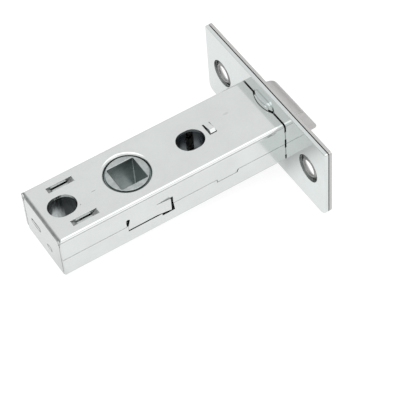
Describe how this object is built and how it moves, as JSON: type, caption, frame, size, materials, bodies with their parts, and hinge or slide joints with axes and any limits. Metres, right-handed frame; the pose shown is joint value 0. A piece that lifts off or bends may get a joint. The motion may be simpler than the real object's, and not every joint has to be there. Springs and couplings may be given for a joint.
{
  "type": "tubular mortice door latch",
  "caption": "Flat mortice door latch: pressed case with a square-holed follower and slots for bolt-through fixing, a double forend and a sprung bevelled bolt drawn in by a yoke.",
  "frame": {"origin": "centre of the square spindle hole, halfway through the case's depth", "axes": "+X out through the forend along the bolt's travel, +Z along the spindle, +Y across the case along the forend's length"},
  "size_m": [0.079, 0.0562, 0.0242],
  "materials": {
    "zinc_plate": "satin bright zinc",
    "satin_plate": "fine satin",
    "spacer_steel": "dull plated",
    "mechanism_steel": "dull plated",
    "guide_nylon": "moulded",
    "cast_zinc": "smooth cast, lightly brushed",
    "spring_steel": "drawn wire",
    "follower_cast": "cast and plated"
  },
  "bodies": {
    "case": {"upper_shell": "zinc_plate", "lower_shell": "zinc_plate", "inner_forend": "zinc_plate", "outer_forend": "satin_plate", "front_ferrule": "spacer_steel", "rear_ferrule": "spacer_steel", "spring_plate": "mechanism_steel", "spring_seat": "mechanism_steel", "guide_pin": "mechanism_steel", "bolt_guide": "guide_nylon", "latch_spring": "spring_steel", "return_spring_near": "spring_steel", "return_spring_far": "spring_steel"},
    "bolt": {"latch_bolt": "cast_zinc", "draw_yoke": "mechanism_steel", "yoke_rivet_near": "mechanism_steel", "yoke_rivet_far": "mechanism_steel"},
    "follower": {"follower": "follower_cast"},
    "slide_near": {"return_slide_near": "mechanism_steel"},
    "slide_far": {"return_slide_far": "mechanism_steel"}
  },
  "joints": [
    {"name": "bolt_slide", "type": "slide", "parent": "case", "child": "bolt", "axis": [-1, 0, 0], "range_m": [0, 0.0095], "stiffness_N_per_m": 960, "springref_m": -0.004, "deforming": ["latch_spring"]},
    {"name": "follower_turn", "type": "hinge", "parent": "case", "child": "follower", "pos_m": [0, 0, 0], "axis": [0, 0, 1], "range_deg": [0, 70]},
    {"name": "far_slide", "type": "slide", "parent": "case", "child": "slide_far", "axis": [-1, 0, 0], "range_m": [0, 0.0095], "stiffness_N_per_m": 1350, "springref_m": -0.0037, "deforming": ["return_spring_far"]},
    {"name": "near_slide", "type": "slide", "parent": "case", "child": "slide_near", "axis": [-1, 0, 0], "range_m": [0, 0.0095], "stiffness_N_per_m": 1350, "springref_m": -0.0037, "deforming": ["return_spring_near"]}
  ],
  "couplings": [
    {"joint": "follower_turn", "follows": "bolt_slide", "rad_per_m": 128.5},
    {"joint": "far_slide", "follows": "bolt_slide", "ratio": 1}
  ]
}
